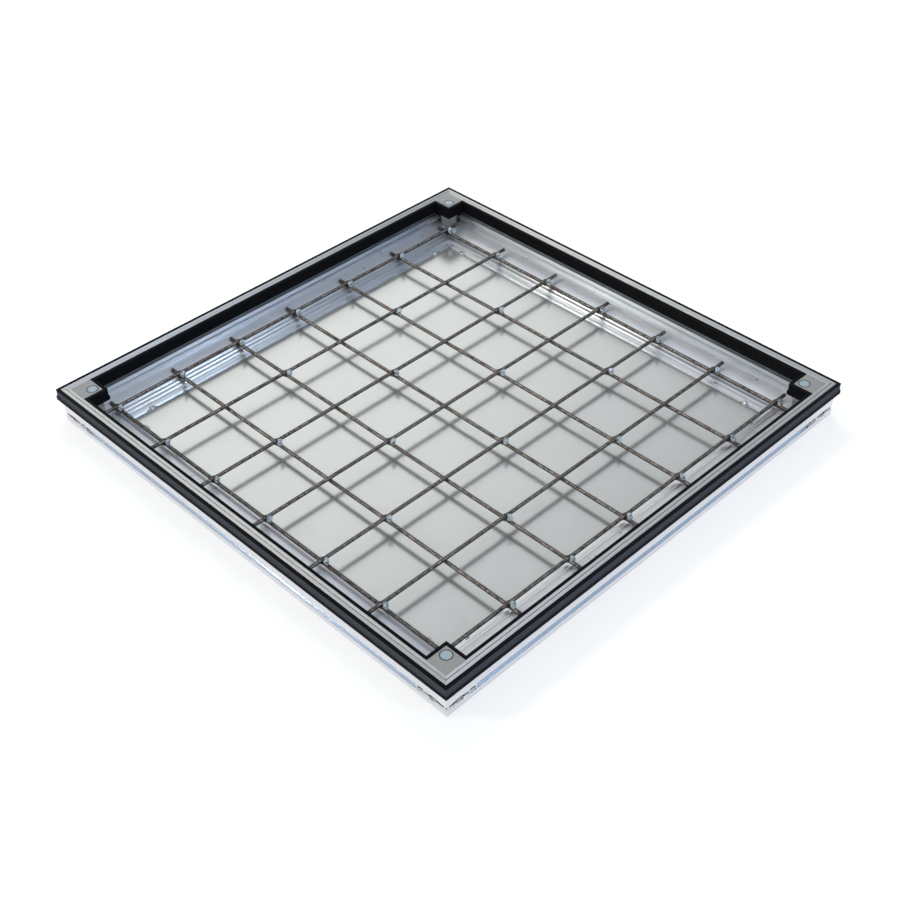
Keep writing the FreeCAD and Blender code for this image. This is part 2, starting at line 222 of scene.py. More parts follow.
def mix_colours(tree, factor, first, second):
    made = tree.nodes.new("ShaderNodeMix")
    made.data_type = "RGBA"
    sockets = [socket for socket in made.inputs if socket.enabled]
    plug(tree, factor, sockets[0])
    for colour, socket in zip((first, second), sockets[1:]):
        plug(tree, (*colour, 1) if isinstance(colour, tuple) else colour, socket)
    return [socket for socket in made.outputs if socket.enabled][0]


def mottle(tree, noise, low, high, dark, light):
    """Dark where the noise is low, light where it is high."""
    return mix_colours(tree, ramp(tree, noise, low, high), dark, light)


# Camera, floor and light

# The photograph's camera, as fitted to the edges of the frame
CAMERA_PLACE = (1.056355, -1.028876, 1.191629)
CAMERA_RIGHT = (0.706684, 0.707457, -0.010072)
CAMERA_DOWN = (0.443954, -0.454464, -0.772248)
CAMERA_AHEAD = (-0.550910, 0.541264, -0.635241)
CAMERA_LENS = 58.449
CAMERA_SHIFT = (-0.0037, -0.0229)

# Patches of light in the dome: compass angle from +X and height in degrees, how far out each one
# is full and where it ends, and its colour. The one below zero is a dark card.
SKY_PATCHES = (
    (152, 20, 12, 38, (0.70, 0.70, 0.65)),
    (23, 41, 4, 8, (10.0, 13.0, 17.0)),
    (50, 33, 10, 24, (-0.30, -0.24, -0.14)),
    (229.3, 33, 1.2, 3.8, (70.0, 68.0, 57.0)),
    (227, 39.5, 1, 3.4, (34.0, 33.0, 28.0)),
    (239, 37, 6, 24, (0.50, 0.56, 0.65)),
)
DOME_COLOUR = (0.31, 0.33, 0.36)
HORIZON_COLOUR = (0.66, 0.65, 0.62)
ZENITH_COLOUR = (0.45, 0.45, 0.45)
WHITE = (1.0, 1.0, 1.0)

# Where the horizon's light ends, the zenith's begins and the mirrored floor's white ends,
# as the sine of the height
HORIZON_ENDS = (0.02, 0.42)
ZENITH_BEGINS = (0.78, 0.97)
FLOOR_WHITE_ENDS = (0.02, 0.3)

# Lamp panels: compass angle and height in degrees, distance and size in metres, watts and colour
LAMPS = {
    "key_panel": (137, 44, 2.6, 0.5, 17, (1.0, 0.985, 0.96)),
    "ceiling_panel": (0, 90, 2.6, 1.8, 8, WHITE),
}

FLOOR_SIZE = 9
FLOOR_GREY = 0.42
FLOOR_GLOW = 0.66


def place_camera():
    data = bpy.data.cameras.new("photo_camera")
    data.sensor_width = 36
    data.lens = CAMERA_LENS
    data.shift_x, data.shift_y = CAMERA_SHIFT
    data.clip_end = 50
    camera = bpy.data.objects.new("photo_camera", data)
    axes = (Vector(CAMERA_RIGHT), -Vector(CAMERA_DOWN), -Vector(CAMERA_AHEAD))
    turn = Matrix(axes).transposed().to_4x4()
    camera.matrix_world = Matrix.Translation(CAMERA_PLACE) @ turn
    bpy.context.scene.collection.objects.link(camera)
    bpy.context.scene.camera = camera


def sky_direction(azimuth, elevation):
    around, up = math.radians(azimuth), math.radians(elevation)
    return (math.cos(up) * math.cos(around), math.cos(up) * math.sin(around), math.sin(up))


def hang_lamp(name, azimuth, elevation, distance, size, watts, colour):
    """A square panel that looks at the cover, and that no surface mirrors."""
    data = bpy.data.lights.new(name, "AREA")
    data.shape = "SQUARE"
    data.size = size
    data.energy = watts
    data.color = colour
    lamp = bpy.data.objects.new(name, data)
    lamp.location = Vector(sky_direction(azimuth, elevation)) * distance
    lamp.rotation_euler = (-lamp.location).to_track_quat("-Z", "Y").to_euler()
    lamp.visible_glossy = False
    bpy.context.scene.collection.objects.link(lamp)


def glow_in_sky(tree, direction, azimuth, elevation, core, edge, colour):
    """A soft round patch of light in the dome, full inside the core and gone at the edge."""
    nearness = vector_node(tree, "DOT_PRODUCT", direction, sky_direction(azimuth, elevation))
    fade = ramp(tree, nearness, math.cos(math.radians(edge)), math.cos(math.radians(core)))
    fade.node.interpolation_type = "SMOOTHSTEP"
    return vector_node(tree, "SCALE", colour, fade)


def light_the_studio():
    """The lamp panels, and a dome with soft patches of light. The camera sees the dome as white."""
    for name, lamp in LAMPS.items():
        hang_lamp(name, *lamp)
    world = bpy.data.worlds.new("studio")
    bpy.context.scene.world = world
    world.use_nodes = True
    tree = world.node_tree
    tree.nodes.clear()
    direction = node(tree, "TexCoord").outputs["Generated"]
    split = node(tree, "SeparateXYZ")
    link(tree, direction, split.inputs[0])
    up = split.outputs["Z"]
    horizon = ramp(tree, up, *HORIZON_ENDS, 1.0, 0.0)
    horizon = vector_node(tree, "SCALE", HORIZON_COLOUR, horizon)
    zenith = vector_node(tree, "SCALE", ZENITH_COLOUR, ramp(tree, up, *ZENITH_BEGINS))
    light = vector_node(tree, "ADD", horizon, zenith)
    for patch in SKY_PATCHES:
        light = vector_node(tree, "ADD", light, glow_in_sky(tree, direction, *patch))
    light = vector_node(tree, "ADD", light, DOME_COLOUR)
    path = node(tree, "LightPath")
    low = ramp(tree, up, *FLOOR_WHITE_ENDS, 1.0, 0.0)
    white = times(tree, path.outputs["Is Glossy Ray"], low)
    white = math_node(tree, "MAXIMUM", white, path.outputs["Is Camera Ray"])
    white = math_node(tree, "MAXIMUM", white, path.outputs["Is Transmission Ray"])
    glow = node(tree, "Background")
    link(tree, mix_colours(tree, white, light, WHITE), glow.inputs["Color"])
    out = node(tree, "OutputWorld")
    link(tree, glow.outputs[0], out.inputs["Surface"])


def lay_floor():
    """A pale floor. The camera and a reflection see it as white, with the cover's shadow."""
    deselect_all()
    bpy.ops.mesh.primitive_plane_add(size=FLOOR_SIZE, location=(0, 0, 0))
    floor = bpy.context.object
    floor.name = "studio_floor"
    material = bpy.data.materials.new("studio_floor")
    material.use_nodes = True
    tree = material.node_tree
    tree.nodes.clear()
    pale = node(tree, "BsdfDiffuse", Color=(FLOOR_GREY, FLOOR_GREY, FLOOR_GREY, 1))
    path = node(tree, "LightPath")
    seen = math_node(tree, "MAXIMUM", path.outputs["Is Camera Ray"], path.outputs["Is Glossy Ray"])
    glow = node(tree, "Emission")
    link(tree, times(tree, seen, FLOOR_GLOW), glow.inputs["Strength"])
    both = node(tree, "AddShader")
    link(tree, pale.outputs[0], both.inputs[0])
    link(tree, glow.outputs[0], both.inputs[1])
    out = node(tree, "OutputMaterial")
    link(tree, both.outputs[0], out.inputs["Surface"])
    floor.data.materials.append(material)


# Shader groups that several finishes share

def new_group(name, takes, gives):
    """An empty shader group. Sockets are given as (name, kind, value) and (name, kind)."""
    group = bpy.data.node_groups.new(name, "ShaderNodeTree")
    for socket, kind, value in takes:
        made = group.interface.new_socket(
            socket, in_out="INPUT", socket_type="NodeSocket" + kind)
        if value is not None:
            made.default_value = value
    for socket, kind in gives:
        group.interface.new_socket(socket, in_out="OUTPUT", socket_type="NodeSocket" + kind)
    return group, group.nodes.new("NodeGroupInput"), group.nodes.new("NodeGroupOutput")


def make_drawn_lines():
    """Fine and broad lines along an extrusion. The vector is already stretched along its run."""
    group, given, gives = new_group(
        "drawn_lines", [("Vector", "Vector", None)], [("Fine", "Float"), ("Broad", "Float")])
    fine = node(group, "TexNoise", Scale=1.0, Detail=3.0, Roughness=0.6)
    broad = node(group, "TexNoise", Scale=0.16, Detail=2.0, Roughness=0.5)
    for noise, name in ((fine, "Fine"), (broad, "Broad")):
        link(group, given.outputs["Vector"], noise.inputs["Vector"])
        link(group, noise.outputs[0], gives.inputs[name])
    return group


def make_grain():
    """Fine even grain, as on a matte or cast surface, with a slower unevenness."""
    group, given, gives = new_group(
        "surface_grain", [("Vector", "Vector", None), ("Size", "Float", 900.0)],
        [("Grain", "Float"), ("Clouds", "Float")])
    grain = node(group, "TexNoise", Detail=4.0, Roughness=0.65)
    link(group, given.outputs["Size"], grain.inputs["Scale"])
    clouds = node(group, "TexNoise", Scale=9.0, Detail=3.0, Roughness=0.55)
    for noise, name in ((grain, "Grain"), (clouds, "Clouds")):
        link(group, given.outputs["Vector"], noise.inputs["Vector"])
        link(group, noise.outputs[0], gives.inputs[name])
    return group


def make_stains():
    """Scattered rust specks and pale dust, as masks. A higher reach leaves fewer of them."""
    group, given, gives = new_group(
        "rust_and_dust",
        [("Vector", "Vector", None), ("Rust reach", "Float", 0.7), ("Dust reach", "Float", 0.6)],
        [("Rust", "Float"), ("Dust", "Float")])
    spots = node(group, "TexNoise", Scale=55.0, Detail=5.0, Roughness=0.6)
    specks = node(group, "TexNoise", Scale=260.0, Detail=3.0, Roughness=0.7)
    veil = node(group, "TexNoise", Scale=14.0, Detail=5.0, Roughness=0.65)
    for noise in (spots, specks, veil):
        link(group, given.outputs["Vector"], noise.inputs["Vector"])
    rust = math_node(group, "SUBTRACT", spots.outputs[0], given.outputs["Rust reach"])
    rust = times(group, times(group, rust, 12.0), ramp(group, specks.outputs[0], 0.42, 0.58))
    dust = math_node(group, "SUBTRACT", veil.outputs[0], given.outputs["Dust reach"])
    dust = times(group, dust, 5.0)
    for mask, name in ((rust, "Rust"), (dust, "Dust")):
        clamped = node(group, "Clamp")
        link(group, mask, clamped.inputs["Value"])
        link(group, clamped.outputs[0], gives.inputs[name])
    return group


drawn_lines = make_drawn_lines()
surface_grain = make_grain()
rust_and_dust = make_stains()


def place_group(tree, group, vector, **values):
    placed = node(tree, "Group")
    placed.node_tree = group
    link(tree, vector, placed.inputs["Vector"])
    for name, value in values.items():
        placed.inputs[name.replace("_", " ")].default_value = value
    return placed


# Places on the cover, as masks

# Bands on the sections, in millimetres above the floor: start, full, still full and end
LEDGE_FILM = (11.7, 12.0, 12.7, 13.1)
BESIDE_THE_POST = (13.2, 14.0, 33.0, 34.0)
WALL_BROW = (17.8, 18.1, 26.1, 26.4)
WALL_GROOVE = (18.3, 18.6, 21.1, 21.3)
SHADED_UPSTAND = (25.6, 26.2, 33.0, 34.0)
TRIM_WAIST = (39.2, 40.2, 47.8, 48.8)

# Soft borders in millimetres, from where a mask is 0 to where it is 1
LOW_ON_THE_TRAY = (16.5, 12.5)
SAWN_LIP = (49.4, 49.8)
CORNER_GAP = (312.0, 314.5)
FRAME_GROOVE_MOUTH = (349.6, 349.0)
FRAME_GROOVE_TOP = (15.6, 15.2)
CLEAT_FACE = (349.5, 349.2)

SOCKET_PLACE = 321.2
CLEAT_SLOT_HEIGHT = 11.4
CLEAT_SLOT_EDGE = (1.2, 0.9)


def object_place(tree, scale=None):
    """Object coordinates in metres, stretched by a Mapping node where a scale is given."""
    place = node(tree, "TexCoord").outputs["Object"]
    if scale is None:
        return place
    mapping = node(tree, "Mapping", Scale=scale)
    link(tree, place, mapping.inputs["Vector"])
    return mapping.outputs[0]


def along_section(tree, along, run, across):
    """Object coordinates stretched for lines that run along X or Y."""
    return object_place(tree, (run, across, across) if along == "x" else (across, run, across))


def split_place(tree):
    split = node(tree, "SeparateXYZ")
    link(tree, object_place(tree), split.inputs[0])
    return split.outputs


def height_of(tree):
    """The height above the floor, in metres."""
    return split_place(tree)["Z"]


def distances_out(tree):
    """How far out from the middle of the cover along X, and along Y, in metres."""
    place = split_place(tree)
    return [math_node(tree, "ABSOLUTE", place[axis]) for axis in ("X", "Y")]


def outwards_of(tree):
    """How far out from the middle of the cover, along X or Y, in metres."""
    return math_node(tree, "MAXIMUM", *distances_out(tree))


def border(tree, distance, edges, low=0.0, high=1.0):
    """A soft step in a distance. Its two edges are in millimetres."""
    return ramp(tree, distance, edges[0] * MM, edges[1] * MM, low, high)


def band(tree, distance, edges):
    """1 inside a band of distances, 0 outside it. Its four edges are in millimetres."""
    start, full, still_full, end = edges
    return times(tree, border(tree, distance, (start, full)),
                 border(tree, distance, (end, still_full)))


def corner_gap_shade(tree):
    """1 in the narrow gaps between a corner post and the tray's walls, where the tray gets painted
    shade.
    """
    beside = border(tree, math_node(tree, "MINIMUM", *distances_out(tree)), CORNER_GAP)
    return times(tree, beside, band(tree, height_of(tree), BESIDE_THE_POST))


def groove_floor(tree):
    """1 inside the frame's outer groove."""
    sunk = border(tree, outwards_of(tree), FRAME_GROOVE_MOUTH)
    return times(tree, sunk, border(tree, height_of(tree), FRAME_GROOVE_TOP))


def cleat_slot(tree):
    """1 in a frame cleat's slot, and a little on the flanks of what is punched."""
    sunk = border(tree, outwards_of(tree), CLEAT_FACE)
    aside = math_node(tree, "SUBTRACT", height_of(tree), CLEAT_SLOT_HEIGHT * MM)
    aside = math_node(tree, "ABSOLUTE", aside)
    return times(tree, sunk, border(tree, aside, CLEAT_SLOT_EDGE, 0.1, 1.0))


def socket_ring(tree, near, far):
    """0 within the near distance of a corner socket's middle, 1 beyond the far one."""
    squares = []
    for distance in distances_out(tree):
        aside = math_node(tree, "SUBTRACT", distance, SOCKET_PLACE * MM)
        squares.append(times(tree, aside, aside))
    away = math_node(tree, "POWER", math_node(tree, "ADD", *squares), 0.5)
    return border(tree, away, (near, far))


def leaning_faces(tree):
    """1 on faces that lean back halfway, less on flat ones, 0 on upright ones."""
    split = node(tree, "SeparateXYZ")
    link(tree, node(tree, "NewGeometry").outputs["Normal"], split.inputs[0])
    facing_up = split.outputs["Z"]
    flat = ramp(tree, facing_up, 0.84, 0.97, 1.0, 0.35)
    return times(tree, ramp(tree, facing_up, 0.15, 0.5), flat)


# Finishes

# How far the reflections on the extrusions are drawn out, from 0 to 1
DRAWN_GLOSS = 0.85


def bump(tree, height, depth):
    made = node(tree, "Bump", Distance=depth, Strength=1.0)
    link(tree, height, made.inputs["Height"])
    return made.outputs[0]


def new_finish(name, colour, metallic, roughness):
    material = bpy.data.materials.new(name)
    material.use_nodes = True
    material.diffuse_color = (*colour, 1)
    shader = material.node_tree.nodes["Principled BSDF"]
    shader.inputs["Base Color"].default_value = (*colour, 1)
    shader.inputs["Metallic"].default_value = metallic
    shader.inputs["Roughness"].default_value = roughness
    return material, material.node_tree, shader


def feed(tree, shader, **sources):
    """Link sources to the shader's sockets of the same names."""
    for name, source in sources.items():
        link(tree, source, shader.inputs[name.replace("_", " ")])


def draw_out_gloss(tree, shader, along):
    """Spread the reflections across the drawn lines of a section that runs along X or Y."""
    shader.inputs["Anisotropic"].default_value = DRAWN_GLOSS
    normal = node(tree, "NewGeometry").outputs["Normal"]
    run = (1.0, 0.0, 0.0) if along == "x" else (0.0, 1.0, 0.0)
    feed(tree, shader, Tangent=vector_node(tree, "CROSS_PRODUCT", normal, run))


def dress_frame(tree, tone):
    """The pale blue floor of the frame's outer groove."""
    groove = groove_floor(tree)
    tone = mix_colours(tree, groove, tone, (0.80, 0.86, 0.94))
    return tone, groove, 0.8, ()


def dress_tray(tree, tone):
    """Dust and rust where things lie on the tray, shade in its groove, gaps and upstand."""
    height = height_of(tree)
    stains = place_group(tree, rust_and_dust, object_place(tree), Rust_reach=0.63, Dust_reach=0.52)
    low = border(tree, height, LOW_ON_THE_TRAY)
    shaded = band(tree, height, SHADED_UPSTAND)
    # Where each layer lies, how much it covers, how dull it is and its colour
    layers = (
        (times(tree, stains.outputs["Dust"], low), 0.25, 0.25, (0.52, 0.49, 0.45)),
        (shaded, 0.9, 0.5, (0.10, 0.11, 0.13)),
        (times(tree, stains.outputs["Rust"], low), 0.8, 0.8, (0.16, 0.075, 0.035)),
        (stains.outputs["Dust"], 0.2, 0.0, (0.62, 0.72, 0.84)),
        # Painted shade in the gaps beside the corner posts
        (corner_gap_shade(tree), 0.92, 1.0, (0.03, 0.03, 0.03)),
        # Painted shade in the wall's groove
        (band(tree, height, WALL_GROOVE), 0.9, 0.5, (0.08, 0.115, 0.18)),
    )
    dull = times(tree, band(tree, height, LEDGE_FILM), 0.36)
    for place, cover, dullness, colour in layers:
        tone = mix_colours(tree, times(tree, place, cover), tone, colour)
        if dullness:
            dull = math_node(tree, "MAXIMUM", dull, times(tree, place, dullness))
    return tone, dull, 0.1, ((band(tree, height, WALL_BROW), 0.22), (shaded, 0.3))


def extruded_aluminium(name, along, colour, metallic, roughness, dress):
    """Mill-finish aluminium with drawn lines along X or Y, duller on the sawn lips at the top.

    The dress adds what the frame or the tray has beyond that. It gives the new tone, where the
    metal is dull, how metallic it still is there, and what makes it rougher by how much.
    """
    material, tree, shader = new_finish(name, colour, metallic, roughness)
    draw_out_gloss(tree, shader, along)
    lines = place_group(tree, drawn_lines, along_section(tree, along, 1.5, 360.0))
    grain = place_group(tree, surface_grain, object_place(tree), Size=1400.0)
    darker = tuple(channel * 0.92 for channel in colour)
    tone = mottle(tree, lines.outputs["Fine"], 0.3, 0.7, darker, colour)
    tone, dull, dullest, rougher = dress(tree, tone)
    lip = border(tree, height_of(tree), SAWN_LIP)
    matte = mottle(tree, grain.outputs["Grain"], 0.35, 0.65,
                   (0.56, 0.56, 0.565), (0.72, 0.72, 0.725))
    rough = ramp(tree, lines.outputs["Broad"], 0.3, 0.7, roughness - 0.01, roughness + 0.02)
    for place, amount in ((lip, 0.22), *rougher):
        rough = math_node(tree, "ADD", rough, times(tree, place, amount))
    feed(tree, shader,
         Base_Color=mix_colours(tree, lip, tone, matte),
         Metallic=ramp(tree, dull, 0.0, 1.0, metallic, dullest),
         Roughness=rough,
         Normal=bump(tree, lines.outputs["Fine"], 0.000012))
    return material


def sheet_aluminium():
    """Satin rolled sheet that mirrors the bars softly, with faint stains and lines along X."""
    colour = (0.80, 0.81, 0.795)
    material, tree, shader = new_finish("sheet_aluminium", colour, 0.82, 0.2)
    place = object_place(tree)
    clouds = place_group(tree, surface_grain, place, Size=700.0).outputs["Clouds"]
    lines = place_group(tree, drawn_lines, along_section(tree, "x", 12.0, 900.0))
    stains = place_group(tree, rust_and_dust, place, Rust_reach=0.66, Dust_reach=0.56)
    tone = mottle(tree, clouds, 0.35, 0.7, (0.77, 0.78, 0.77), colour)
    tone = mix_colours(tree, times(tree, stains.outputs["Rust"], 0.2), tone, (0.42, 0.36, 0.31))
    tone = mix_colours(tree, times(tree, stains.outputs["Dust"], 0.25), tone, (0.62, 0.60, 0.57))
    feed(tree, shader,
         Base_Color=tone,
         Roughness=ramp(tree, clouds, 0.3, 0.7, 0.19, 0.215),
         Normal=bump(tree, lines.outputs["Fine"], 0.00003))
    return material


def cap_aluminium():
    """Mid-grey blasted aluminium with a fine grain, and painted shade of the gap round the plug."""
    material, tree, shader = new_finish("cap_aluminium", (0.36, 0.36, 0.36), 0.45, 0.5)
    grain = place_group(tree, surface_grain, object_place(tree), Size=1100.0).outputs["Grain"]
    tone = mottle(tree, grain, 0.38, 0.62, (0.25, 0.25, 0.25), (0.45, 0.45, 0.44))
    # Painted shade of the gap round the plug: a dark ring on the cap round its hole
    gap_shade = times(tree, math_node(tree, "SUBTRACT", 1.0, socket_ring(tree, 7.5, 8.2)), 0.75)
    feed(tree, shader,
         Base_Color=mix_colours(tree, gap_shade, tone, (0.05, 0.05, 0.05)),
         Normal=bump(tree, grain, 0.00005))
    return material


def post_aluminium():
    """Satin aluminium with upright lines."""
    colour = (0.60, 0.60, 0.61)
    material, tree, shader = new_finish("post_aluminium", colour, 1.0, 0.4)
    fine = place_group(tree, drawn_lines, object_place(tree, (900.0, 900.0, 6.0))).outputs["Fine"]
    feed(tree, shader,
         Base_Color=mottle(tree, fine, 0.3, 0.7, (0.50, 0.50, 0.51), colour),
         Normal=bump(tree, fine, 0.00003))
    return material


def cleat_metal():
    """Bright cast metal with small dark pits, and painted shade in the slot and round what is
    punched.
    """
    colour = (0.90, 0.90, 0.92)
    material, tree, shader = new_finish("cleat_metal", colour, 0.6, 0.32)
    pits = node(tree, "TexNoise", Scale=420.0, Detail=3.0, Roughness=0.6)
    link(tree, object_place(tree), pits.inputs["Vector"])
    tone = mottle(tree, pits.outputs[0], 0.33, 0.40, (0.30, 0.29, 0.28), colour)
    # Painted shade in the slot, and a little over the whole punched face
    slot_shade = cleat_slot(tree)
    feed(tree, shader,
         Base_Color=mix_colours(tree, slot_shade, tone, (0.012, 0.010, 0.009)),
         Metallic=ramp(tree, slot_shade, 0.0, 1.0, 0.6, 0.2),
         Roughness=ramp(tree, pits.outputs[0], 0.35, 0.5, 0.5, 0.3),
         Normal=bump(tree, pits.outputs[0], 0.0002))
    return material


def black_trim(name, along, waist):
    """Black trim with fine lines along it. The outer trims have a painted sheen on their waist, a
    dark blue-grey band.
    """
    material, tree, shader = new_finish(name, (0.012, 0.012, 0.014), 0.0, 0.42)
    shader.inputs["Specular IOR Level"].default_value = 0.04
    lines = place_group(tree, drawn_lines, along_section(tree, along, 3.0, 700.0))
    tone = mottle(tree, lines.outputs["Fine"], 0.3, 0.7,
                  (0.004, 0.004, 0.005), (0.008, 0.008, 0.010))
    if waist:
        # Painted sheen: a dark blue-grey band on the waist of the outer trims
        waist_sheen = band(tree, height_of(tree), TRIM_WAIST)
        tone = mix_colours(tree, waist_sheen, tone, (0.078, 0.082, 0.100))
    feed(tree, shader,
         Base_Color=tone,
         Roughness=ramp(tree, lines.outputs["Broad"], 0.3, 0.7, 0.5, 0.62),
         Normal=bump(tree, lines.outputs["Fine"], 0.00003))
    return material


def seal_rubber():
    material, tree, shader = new_finish("seal_rubber", (0.012, 0.012, 0.012), 0.0, 0.7)
    grain = place_group(tree, surface_grain, object_place(tree), Size=1800.0)
    clouds = grain.outputs["Clouds"]
    feed(tree, shader,
         Base_Color=mix_colours(tree, clouds, (0.010, 0.010, 0.010), (0.022, 0.022, 0.022)),
         Normal=bump(tree, grain.outputs["Grain"], 0.00004))
    return material


def plug_grey():
    """Pale blue-grey moulded plug with a dark ring of painted shade at its rim, for the gap round
    it.
    """
    material, tree, shader = new_finish("plug_grey", (0.32, 0.40, 0.44), 0.0, 0.45)
    grain = place_group(tree, surface_grain, object_place(tree), Size=1100.0)
    tone = mix_colours(tree, grain.outputs["Clouds"], (0.29, 0.37, 0.41), (0.36, 0.44, 0.48))
    # Painted shade of the gap round the plug: a dark ring at the plug's rim
    feed(tree, shader,
         Base_Color=mix_colours(tree, socket_ring(tree, 6.1, 6.5), tone, (0.05, 0.055, 0.06)),
         Normal=bump(tree, grain.outputs["Grain"], 0.00002))
    return material


def bar_steel(name, dark, light):
    """Rolled bar steel, brown-grey, with painted light and shade: lighter on faces that lean
    halfway up, darker on its flanks and crest.
    """
    material, tree, shader = new_finish(name, light, 0.55, 0.5)
    place = object_place(tree)
    grain = place_group(tree, surface_grain, place, Size=320.0).outputs["Grain"]
    stains = place_group(tree, rust_and_dust, place, Rust_reach=0.54, Dust_reach=0.6)
    flank_shade = tuple(channel * 0.6 for channel in dark)
    tone = mottle(tree, grain, 0.42, 0.58, dark, light)
    # Painted light and shade by how the faces lean: the grain's tone where they lean halfway up,
    # darker on the upright flanks and the flat crest
    tone = mix_colours(tree, leaning_faces(tree), flank_shade, tone)
    rusty = times(tree, stains.outputs["Rust"], 0.75)
    feed(tree, shader,
         Base_Color=mix_colours(tree, rusty, tone, (0.075, 0.028, 0.014)),
         Metallic=ramp(tree, rusty, 0.0, 0.6, 0.6, 0.1),
         Roughness=ramp(tree, rusty, 0.0, 1.0, 0.45, 0.8),
         Normal=bump(tree, grain, 0.0001))
    return material


def grained_metal(name, metallic, roughness, size, low, high, dark, light, depth):
    """Metal with dark spots between its grains, as on wire and weld drops."""
    material, tree, shader = new_finish(name, light, metallic, roughness)
    grain = place_group(tree, surface_grain, object_place(tree), Size=size).outputs["Grain"]
    feed(tree, shader,
         Base_Color=mottle(tree, grain, low, high, dark, light),
         Normal=bump(tree, grain, depth))
    return material


def tie_zinc(name, metallic, dark, light):
    """Zinc-coated wire: blue-white in the knots, dull and brown in the loops on the bars."""
    return grained_metal(name, metallic, 0.32, 420.0, 0.44, 0.54, dark, light, 0.0001)


def weld_metal():
    dark, light = (0.25, 0.23, 0.21), (0.80, 0.80, 0.80)
    return grained_metal("weld_metal", 1.0, 0.22, 500.0, 0.35, 0.5, dark, light, 0.0003)


def weld_scorch():
    material, tree, shader = new_finish("weld_scorch", (0.10, 0.09, 0.08), 0.5, 0.6)
    grain = place_group(tree, surface_grain, object_place(tree), Size=500.0).outputs["Grain"]
    feed(tree, shader, Base_Color=mix_colours(tree, grain, (0.05, 0.045, 0.04), (0.20, 0.18, 0.16)))
    return material


finish = {
    "sheet": sheet_aluminium(),
    "cap": cap_aluminium(),
    "post": post_aluminium(),
    "cleat": cleat_metal(),
    "seal": seal_rubber(),
    "plug": plug_grey(),
    "bar": bar_steel("bar_steel", (0.045, 0.037, 0.032), (0.32, 0.285, 0.257)),
    "rib": bar_steel("rib_steel", (0.28, 0.245, 0.22), (0.60, 0.55, 0.50)),
    "knot": tie_zinc("tie_zinc", 0.4, (0.16, 0.21, 0.24), (0.86, 0.93, 0.97)),
    "loop": tie_zinc("tie_loop", 0.3, (0.035, 0.028, 0.024), (0.13, 0.115, 0.10)),
    "weld": weld_metal(),
    "scorch": weld_scorch(),
}
for along in ("x", "y"):
    finish["frame_" + along] = extruded_aluminium(
        "frame_aluminium_" + along, along, (0.82, 0.83, 0.88), 0.9, 0.22, dress_frame)
    finish["tray_" + along] = extruded_aluminium(
        "tray_aluminium_" + along, along, (0.82, 0.84, 0.88), 0.8, 0.33, dress_tray)
    finish["outer_trim_" + along] = black_trim("outer_trim_black_" + along, along, True)
    finish["inner_trim_" + along] = black_trim("inner_trim_black_" + along, along, False)


# Sections with rounded edges

# For each kind of section, the width of its rounded edges, its slot and its finish
SIDE_SECTIONS = {
    "frame_side_": (0.3, "frame_aluminium", "frame_"),
    "tray_side_": (0.3, "tray_aluminium", "tray_"),
    "outer_edge_trim_": (0.25, "trim_black", "outer_trim_"),
    "inner_edge_trim_": (0.25, "trim_black", "inner_trim_"),
}
FRAME_CLEAT_ROUND = 0.35
TRAY_CLEAT_ROUND = 0.25
DOUBLES_APART = 0.002
FLAT_ANGLE = 0.5
ROUNDED_ANGLE = 38


def level_the_foot(piece):
    """Bring back up what the rounding of a mitre has pushed under the floor."""
    if any(point.co.z < 0 for point in piece.data.vertices):
        edit_points(piece, lambda place: place.z < 0)
        bpy.ops.transform.resize(value=(1, 1, 0), center_override=(0, 0, 0))
        end_edit()


def rounded_copy(name, width, material):
    """The node's own solid with its doubles merged and its edges slightly rounded."""
    piece = copy_of(cad[name], name + "_rounded")
    give(piece, finish[material])
    edit_whole(piece)
    bpy.ops.mesh.remove_doubles(threshold=DOUBLES_APART * MM)
    bpy.ops.mesh.dissolve_limited(angle_limit=math.radians(FLAT_ANGLE))
    end_edit()
    apply_modifier(piece, "BEVEL", width=width * MM, segments=2, limit_method="ANGLE",
                   angle_limit=math.radians(ROUNDED_ANGLE), harden_normals=False)
    level_the_foot(piece)
    smooth(piece, 30)
    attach(piece, "root")
    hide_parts(name)


for side in SIDES:
    along = "y" if side in ("right", "left") else "x"
    for section, (width, slot, material) in SIDE_SECTIONS.items():
        rounded_copy(section + side, width, material + along)
for corner in CORNERS:
    rounded_copy("frame_corner_cleat_" + corner, FRAME_CLEAT_ROUND, "cleat")
    rounded_copy("tray_corner_cleat_" + corner, TRAY_CLEAT_ROUND, "cleat")
    give(cad["corner_cap_" + corner], finish["cap"])
    give(cad["corner_post_" + corner], finish["post"])
    give(cad["socket_plug_" + corner], finish["plug"])
give(cad["frame_seal"], finish["seal"])
give(cad["base_sheet"], finish["sheet"])


# Ribbed bars of the mesh

BAR_LENGTH = 640.0
CORE_RADIUS = 2.47
CORE_SIDES = 12
CORE_PARTS = 32
CORE_CHAMFER = (0.45, 0.35)

# A rib is the top of a ball, from its cut up to the rib's top
RIB_TOP = 2.66
RIB_CUT = 1.76
RIB_HALF_WIDTH = 0.62
RIB_HALF_LENGTH = 1.62
RIB_HALF_HEIGHT = 1.02
RIB_ROWS = 3
RIB_PITCH = 3.6
RIB_START = 4
RIB_MARGIN = 9
RIB_LEAN = 33
RIB_TURN = 8

# Heights of the bars' axes, where the photograph shows each bar across the cover, and how far
# the lower ones lie off its middle along their length
LOWER_Z = 14.85
UPPER_Z = 19.85
UPPER_X = (-303.2, -203.4, -102.1, -1.9, 98.4, 197.5, 297.1)
LOWER_Y = (-299.0, -200.0, -100.4, -0.7, 99.0, 200.6, 300.4)
LOWER_SHIFT = -3

# How far a bar may bend aside at the points of its path, and slip along its length
WAVER = 0.35
PATH_POINTS = 5
SLIP = 1.5


